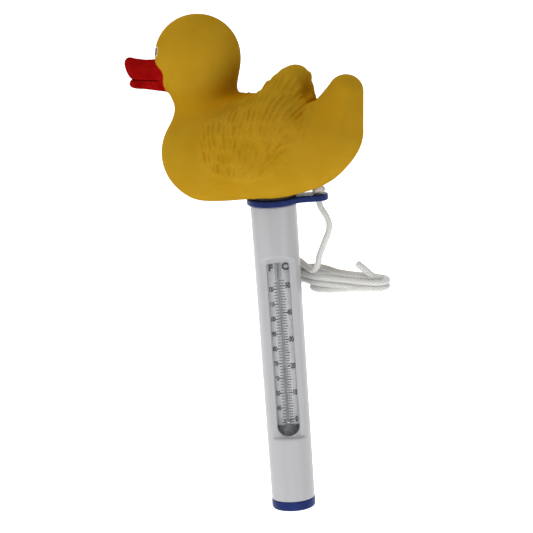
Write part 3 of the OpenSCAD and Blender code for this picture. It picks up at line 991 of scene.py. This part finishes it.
def make_sheath(material):
    """Clear outer glass with a round foot and a fire-polished rim."""
    foot, top = SHEATH_LOW[2], SHEATH_HIGH[2]
    inner = SHEATH_R - SHEATH_WALL
    profile = [(0.001, foot)] + arc(SHEATH_R - 1.6, foot + 1.6, 1.6, -90, 0, 8)
    profile += arc(SHEATH_R - SHEATH_WALL / 2, top - SHEATH_WALL / 2, SHEATH_WALL / 2, 0, 180, 8)
    profile += arc(inner - 1.0, foot + SHEATH_WALL + 1.0, 1.0, 0, -90, 6) + [(0.001, foot + SHEATH_WALL)]
    verts, faces = lathe(profile, (0, SHEATH_Y))
    return finish_piece(make_object("sheath_clear", verts, faces), material, "clear_glass", "glass_sheath")


def make_stem(material):
    """Capillary stem drawn out of a round-shouldered bulb, sealed at the top."""
    wall = 0.5
    profile = arc(0.001, BULB_FOOT + BULB_R, BULB_R, -90, 0, 8)
    profile += [(BULB_R, BULB_TOP - 2.6), (BULB_R - 0.15, BULB_TOP - 1.7), (BULB_R - 0.5, BULB_TOP - 0.8)]
    profile += [(STEM_R, BULB_TOP + 0.2)] + arc(STEM_R - 0.5, STEM_TOP - 0.5, 0.5, 0, 90, 4)
    bore = THREAD_R + 0.05
    profile += [(bore, STEM_TOP), (bore, BULB_TOP - wall), (BULB_R - wall, BULB_TOP - 2.6)]
    profile += arc(0.001, BULB_FOOT + BULB_R, BULB_R - wall, 0, -90, 8)
    verts, faces = lathe(profile, (0, STEM_Y), 48)
    return finish_piece(make_object("stem_clear", verts, faces), material, "clear_glass", "capillary_stem")


def make_bulb_spirit(material):
    """The spirit that fills the bulb, up to where the thread leaves it."""
    r = BULB_R - 0.55
    profile = arc(0.001, BULB_FOOT + BULB_R, r, -90, 0, 8)
    profile += [(r, BULB_TOP - 2.9), (r - 0.4, BULB_TOP - 1.6), (THREAD_R, BULB_TOP - 0.6)]
    profile += [(THREAD_R, BULB_TOP), (0.001, BULB_TOP)]
    verts, faces = lathe(profile, (0, STEM_Y), 40)
    return finish_piece(make_object("spirit_in_bulb", verts, faces), material, "spirit", "spirit_reservoir")


def make_thread(material):
    """The spirit thread, rising out of the bulb up to the level."""
    foot = BULB_FOOT + 1.4
    rows = 80
    profile = [(0.001, foot)]
    profile += [(THREAD_R, foot + 0.2 + (LEVEL - 0.35 - foot) * i / rows) for i in range(rows)]
    profile += arc(0.001, LEVEL - THREAD_R, THREAD_R, 0, 90, 5)
    verts, faces = lathe(profile, (0, STEM_Y), 20)
    thread = make_object("spirit_thread", verts, faces, body=None)
    finish_piece(thread, material, "spirit", "spirit_column", "spirit_meniscus")
    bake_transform(thread)


def add_bar(bm, x0, x1, z, half):
    """One printed mark on the card."""
    thick = 0.03
    corners = [(x0, z - half), (x1, z - half), (x1, z + half), (x0, z + half)]
    front = [bm.verts.new((x * MM, (CARD_FACE - thick) * MM, h * MM)) for x, h in corners]
    back = [bm.verts.new((x * MM, (CARD_FACE + 0.01) * MM, h * MM)) for x, h in corners]
    bm.faces.new(front)
    for i in range(4):
        j = (i + 1) % 4
        bm.faces.new((front[j], front[i], back[i], back[j]))


def add_digits(bm, text, x, z, size, narrow):
    """Plain printed numerals or a unit letter, centred at x and z on the card."""
    curve = bpy.data.curves.new("numeral", "FONT")
    curve.body = text
    curve.size = size
    curve.offset = 0.065 * size
    curve.align_x = "CENTER"
    curve.align_y = "CENTER"
    curve.resolution_u = 6
    temp = bpy.data.objects.new("numeral", curve)
    bpy.context.scene.collection.objects.link(temp)
    mesh = bpy.data.meshes.new_from_object(temp.evaluated_get(bpy.context.evaluated_depsgraph_get()))
    place = Matrix.Translation(Vector((x, CARD_FACE - 0.03, z)) * MM)
    lift = Matrix.Rotation(math.pi / 2, 4, "X")
    mesh.transform(place @ lift @ Matrix.Diagonal((narrow * MM, MM, MM, 1)))
    bm.from_mesh(mesh)
    bpy.data.objects.remove(temp)
    bpy.data.curves.remove(curve)
    bpy.data.meshes.remove(mesh)


def make_scale_print(material):
    """Degree marks and numerals: Celsius on the right, Fahrenheit on the left."""
    bm = bmesh.new()
    for c in range(-2, 53):
        z = ZERO_MARK + c * DEGREE
        reach = 2.6 if c % 5 == 0 else 2.2
        add_bar(bm, 0.5, reach, z, 0.26 if c % 10 == 0 else 0.19)
    for f in range(30, 126, 2):
        z = ZERO_MARK + (f - 32) / 1.8 * DEGREE
        reach = 2.4 if f % 10 == 0 else 2.0
        add_bar(bm, -reach, -0.5, z, 0.24 if f % 10 == 0 else 0.18)
    for c in range(0, 51, 10):
        add_digits(bm, str(c), 3.5, ZERO_MARK + c * DEGREE, 3.0, 0.62)
    for f in range(40, 121, 10):
        add_digits(bm, str(f), -3.3, ZERO_MARK + (f - 32) / 1.8 * DEGREE, 2.6, 0.5 if f > 99 else 0.66)
    add_digits(bm, "F", -2.9, WINDOW_TOP - 3.4, 3.6, 1)
    add_digits(bm, "C", 2.9, WINDOW_TOP - 3.2, 3.8, 1)
    mesh = bpy.data.meshes.new("scale_print")
    bm.to_mesh(mesh)
    bm.free()
    obj = bpy.data.objects.new("scale_print", mesh)
    bpy.context.scene.collection.objects.link(obj)
    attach(obj, "root")
    return finish_piece(obj, material, "scale_ink")


def dress_cad_node(node, material):
    """A CAD node that is shown as it is, under its own material."""
    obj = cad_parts[node]
    obj.data.materials.clear()
    obj.data.materials.append(material)
    bevel = obj.modifiers.new("round_edges", "BEVEL")
    bevel.width = 0.00015
    bevel.segments = 2
    bevel.limit_method = "ANGLE"


def dress_inner_parts():
    dress_cad_node("ballast", steel_material())
    black = rubber_material("rubber_black", (0.02, 0.02, 0.02))
    dress_cad_node("lower_cushion", black)
    dress_cad_node("upper_cushion", black)
    dress_cad_node("sheath_stopper", rubber_material("rubber_pale", (0.5, 0.47, 0.4)))
    dress_cad_node("bulb_pad", cotton_material())
    dress_cad_node("scale_card", card_material())
    dress_cad_node("scale_ties", tie_material())
    make_seal(black)


# ---------------------------------------------------------------- stage

def make_stage():
    """Pale floor that curves up into a pale wall behind the object."""
    p = Paint("studio_white", (0.9, 0.9, 0.9), 0.9)
    tone = p.spread(p.noise(3, 2), 0.3, 0.7)
    p.colour(p.mix(tone, (0.90, 0.90, 0.90), (0.92, 0.92, 0.92)))
    p.shader.inputs["Emission Color"].default_value = (1, 1, 1, 1)
    p.shader.inputs["Emission Strength"].default_value = 0.75
    floor, back, sweep = CAP_FOOT - 60, 900.0, 600.0
    line = [(-3000.0, floor), (back, floor)]
    for a in np.linspace(0, math.pi / 2, 13)[1:]:
        line.append((back + sweep * math.sin(a), floor + sweep * (1 - math.cos(a))))
    line.append((back + sweep, floor + 3500))
    verts = [(x, y, z) for y, z in line for x in (-3500.0, 3500.0)]
    faces = [(2 * i, 2 * i + 1, 2 * i + 3, 2 * i + 2) for i in range(len(line) - 1)]
    stage = make_object("studio_floor", verts, faces, body=None)
    stage.data.materials.append(p.material)


def add_light(name, place, size, power):
    """A soft area light aimed at the object's middle."""
    data = bpy.data.lights.new(name, "AREA")
    data.shape = "DISK"
    data.size = size * MM
    data.energy = power
    light = bpy.data.objects.new(name, data)
    aim = Vector((0, 0, -50))
    light.location = Vector(place) * MM
    light.rotation_euler = (aim - Vector(place)).to_track_quat("-Z", "Y").to_euler()
    bpy.context.scene.collection.objects.link(light)


def make_lights():
    """Even white sky with two large soft lamps."""
    world = bpy.data.worlds.new("studio")
    bpy.context.scene.world = world
    world.use_nodes = True
    sky = world.node_tree.nodes["Background"]
    sky.inputs["Color"].default_value = (1, 1, 1, 1)
    sky.inputs["Strength"].default_value = 0.35
    add_light("key_low_front", (750, -800, -450), 700, 7)
    add_light("fill_top", (-400, -600, 900), 900, 7)
    bpy.context.scene.view_settings.view_transform = "Standard"


# ---------------------------------------------------------------- build

braid_white = cord_material()
cord_piece, cord_path = make_cord(braid_white)
knot_piece = make_knot(braid_white)
make_duck(vinyl_material(), 0.6)
make_eyes()
navy = blue_material()
make_tube(tube_material())
make_top_cap(navy)
make_bottom_cap(navy)
clear = glass_material("glass_clear", (0.9, 0.93, 0.95), 0.02, 0.4)
make_sheath(clear)
make_stem(glass_material("glass_stem", (0.85, 0.88, 0.9), 0.06, 0.5))
dark = spirit_material()
make_bulb_spirit(dark)
make_thread(dark)
make_scale_print(ink_material())
dress_inner_parts()
make_stage()
make_lights()
